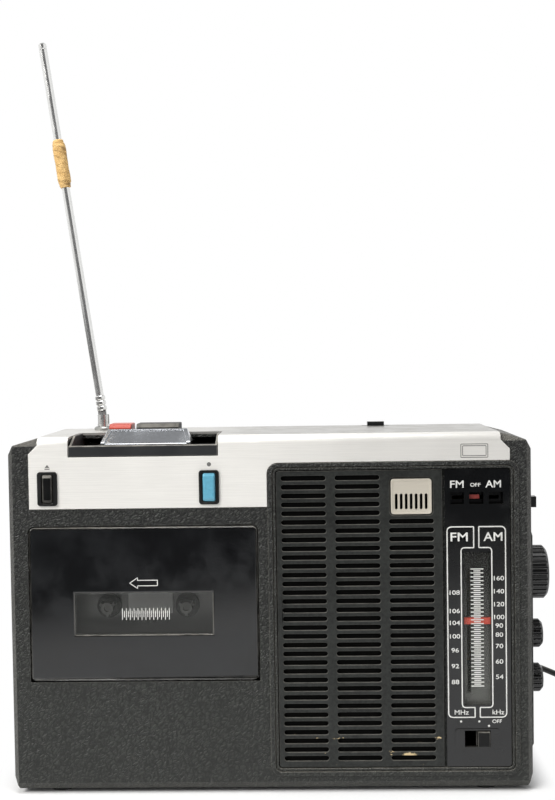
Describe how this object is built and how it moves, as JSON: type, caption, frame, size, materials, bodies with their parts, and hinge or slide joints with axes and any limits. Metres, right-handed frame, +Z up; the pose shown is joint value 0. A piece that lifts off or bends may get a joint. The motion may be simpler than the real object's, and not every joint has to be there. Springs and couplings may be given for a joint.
{
  "type": "radio cassette recorder",
  "caption": "Table-top radio cassette recorder with a tilting cassette door, tape keys, slotted speaker grille, tuning dial, side knobs, telescopic aerial and mains cord.",
  "frame": {"origin": "on the table, under the middle of the case and its knobs", "axes": "+X to the right seen from the front, the front faces -Y, +Z up along the height of the aerial"},
  "size_m": [0.4258, 0.1394, 0.4114],
  "materials": {
    "case": "fine textured moulding",
    "black": "satin",
    "gloss_black": "polished",
    "silver": "brushed",
    "bright": "polished",
    "red": "satin",
    "blue": "satin",
    "smoke": "clear smoked",
    "white": "satin",
    "grey": "satin",
    "steel": "machined",
    "brass": "turned",
    "rubber": "matt",
    "tape": "creped paper",
    "board": "bare board",
    "cone": "pressed fibre"
  },
  "bodies": {
    "radio": {"front_case": "case", "rear_case": "case", "front_trim": "silver", "top_trim": "silver", "key_tray": "black", "button_bezels": "black", "key_shaft": "steel", "cassette_well": "black", "deck_plate": "steel", "drive_motor": "steel", "drive_belt": "rubber", "tape_guide": "grey", "grille_panel": "case", "mic_grille": "silver", "speaker_frame": "steel", "speaker_cone": "cone", "dial_panel": "gloss_black", "tuning_gang": "grey", "control_pots": "steel", "antenna_base": "bright", "battery_box": "black", "battery_contacts": "steel", "main_board": "board", "mains_transformer": "steel", "ferrite_aerial": "rubber", "feet": "rubber", "case_screws": "steel", "jack_block": "black", "strain_relief": "rubber", "cord_run": "rubber", "cord_coil": "rubber", "cord_tie": "black", "mains_plug": "rubber"},
    "eject": {"eject_button": "black"},
    "record": {"record_button": "blue"},
    "play": {"play_key": "bright"},
    "stop": {"stop_key": "red"},
    "wind": {"wind_key": "black"},
    "door": {"cassette_door": "black", "door_window": "smoke"},
    "supply": {"supply_spindle": "white"},
    "takeup": {"takeup_spindle": "white"},
    "capstan": {"flywheel": "steel"},
    "pulley": {"motor_pulley": "brass"},
    "bridge": {"head_bridge": "steel"},
    "pinch": {"pinch_roller": "rubber"},
    "pointer": {"dial_pointer": "red"},
    "flag": {"band_flag": "red"},
    "band": {"band_switch": "black"},
    "level": {"level_switch": "black"},
    "tuning": {"tuning_knob": "black"},
    "volume": {"volume_knob": "black"},
    "tone": {"tone_knob": "black"},
    "slider": {"top_slider": "black"},
    "aerial_swivel": {"antenna_knuckle": "bright"},
    "aerial": {"antenna_tube": "bright", "antenna_tape": "tape"},
    "aerial_middle": {"antenna_middle": "bright"},
    "aerial_tip": {"antenna_tip": "bright"},
    "bay_door": {"battery_door": "case"}
  },
  "joints": [
    {"name": "play_key_press", "type": "hinge", "parent": "radio", "child": "play", "pos_m": [-0.07295, 0.0051, 0.1819], "axis": [1, 0, 0], "range_deg": [0, 5], "stiffness_Nm_per_rad": 0.9, "springref_deg": -8.59},
    {"name": "stop_key_press", "type": "hinge", "parent": "radio", "child": "stop", "pos_m": [-0.07295, 0.0051, 0.1819], "axis": [1, 0, 0], "range_deg": [0, 6], "stiffness_Nm_per_rad": 0.5, "springref_deg": -8.59},
    {"name": "wind_key_press", "type": "hinge", "parent": "radio", "child": "wind", "pos_m": [-0.07295, 0.0051, 0.1819], "axis": [1, 0, 0], "range_deg": [0, 6], "stiffness_Nm_per_rad": 0.5, "springref_deg": -8.59},
    {"name": "bridge_slide", "type": "slide", "parent": "radio", "child": "bridge", "axis": [0, 0, -1], "range_m": [0, 0.006]},
    {"name": "eject_press", "type": "slide", "parent": "radio", "child": "eject", "axis": [0, 1, 0], "range_m": [0, 0.003], "stiffness_N_per_m": 150, "springref_m": -0.002},
    {"name": "record_press", "type": "slide", "parent": "radio", "child": "record", "axis": [0, 1, 0], "range_m": [0, 0.003], "stiffness_N_per_m": 150, "springref_m": -0.002},
    {"name": "door_tilt", "type": "hinge", "parent": "radio", "child": "door", "pos_m": [-0.07295, -0.0334, 0.0641], "axis": [1, 0, 0], "range_deg": [0, 35]},
    {"name": "supply_spin", "type": "hinge", "parent": "radio", "child": "supply", "pos_m": [-0.0517, -0.0189, 0.0971], "axis": [0, 1, 0], "continuous": true},
    {"name": "takeup_spin", "type": "hinge", "parent": "radio", "child": "takeup", "pos_m": [-0.0942, -0.0189, 0.0971], "axis": [0, 1, 0], "continuous": true},
    {"name": "capstan_spin", "type": "hinge", "parent": "radio", "child": "capstan", "pos_m": [-0.09795, -0.0189, 0.1221], "axis": [0, 1, 0], "continuous": true},
    {"name": "pulley_spin", "type": "hinge", "parent": "radio", "child": "pulley", "pos_m": [-0.0336, -0.0189, 0.1171], "axis": [0, 1, 0], "continuous": true},
    {"name": "pinch_spin", "type": "hinge", "parent": "bridge", "child": "pinch", "pos_m": [-0.09795, -0.0189, 0.1347], "axis": [0, 1, 0], "continuous": true},
    {"name": "tuning_turn", "type": "hinge", "parent": "radio", "child": "tuning", "pos_m": [0.1312, -0.0049, 0.1104], "axis": [1, 0, 0], "range_deg": [-319.97, 222.13]},
    {"name": "pointer_slide", "type": "slide", "parent": "radio", "child": "pointer", "axis": [0, 0, 1], "range_m": [-0.0364, 0.0253]},
    {"name": "volume_turn", "type": "hinge", "parent": "radio", "child": "volume", "pos_m": [0.1312, -0.0049, 0.0763], "axis": [1, 0, 0], "range_deg": [-150, 150]},
    {"name": "tone_turn", "type": "hinge", "parent": "radio", "child": "tone", "pos_m": [0.1312, -0.0049, 0.0517], "axis": [1, 0, 0], "range_deg": [-150, 150]},
    {"name": "band_slide", "type": "slide", "parent": "radio", "child": "band", "axis": [0, 1, 0], "range_m": [-0.005, 0.005]},
    {"name": "flag_slide", "type": "slide", "parent": "radio", "child": "flag", "axis": [1, 0, 0], "range_m": [-0.009, 0.009]},
    {"name": "level_slide", "type": "slide", "parent": "radio", "child": "level", "axis": [1, 0, 0], "range_m": [-0.0063, 0]},
    {"name": "slider_slide", "type": "slide", "parent": "radio", "child": "slider", "axis": [1, 0, 0], "range_m": [-0.003, 0.003]},
    {"name": "aerial_turn", "type": "hinge", "parent": "radio", "child": "aerial_swivel", "pos_m": [-0.103, 0.0231, 0.1964], "axis": [0, 0, 1], "continuous": true},
    {"name": "aerial_tilt", "type": "hinge", "parent": "aerial_swivel", "child": "aerial", "pos_m": [-0.103, 0.0231, 0.1964], "axis": [0, 1, 0], "range_deg": [0, 98.2]},
    {"name": "aerial_middle_pull", "type": "slide", "parent": "aerial", "child": "aerial_middle", "axis": [-0.1426, 0, 0.9898], "range_m": [0, 0.19]},
    {"name": "aerial_tip_pull", "type": "slide", "parent": "aerial_middle", "child": "aerial_tip", "axis": [-0.1426, 0, 0.9898], "range_m": [0, 0.188]},
    {"name": "bay_door_tilt", "type": "hinge", "parent": "radio", "child": "bay_door", "pos_m": [-0.0721, 0.0398, 0.0085], "axis": [-1, 0, 0], "range_deg": [0, 95]}
  ],
  "couplings": [
    {"joint": "bridge_slide", "follows": "play_key_press", "m_per_rad": 0.068735},
    {"joint": "pointer_slide", "follows": "tuning_turn", "m_per_rad": 0.0065},
    {"joint": "flag_slide", "follows": "band_slide", "ratio": 1.78},
    {"joint": "pulley_spin", "follows": "capstan_spin", "ratio": 5.5556}
  ]
}
